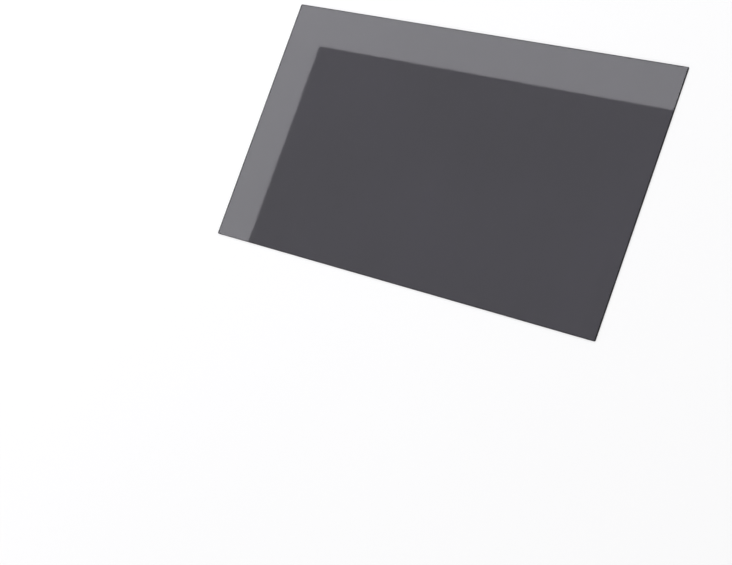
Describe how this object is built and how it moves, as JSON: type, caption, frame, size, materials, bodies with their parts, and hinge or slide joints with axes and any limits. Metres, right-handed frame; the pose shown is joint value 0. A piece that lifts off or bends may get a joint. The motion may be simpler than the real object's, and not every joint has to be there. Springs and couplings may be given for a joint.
{
  "type": "laptop privacy filter",
  "caption": "Thin flat rectangular sheet of translucent smoke-grey film with slightly rounded corners, laid over a laptop screen to hide it from the side.",
  "frame": {"origin": "centre of the rear face, the face that goes against the screen and that the sheet lies on", "axes": "+X along the long edge, to the user's right; +Y up the screen; +Z out of the front face, towards the user"},
  "size_m": [0.344, 0.194, 0.0005],
  "materials": {
    "filter_film": "gloss"
  },
  "bodies": {
    "root": {"filter_sheet": "filter_film"}
  },
  "joints": []
}
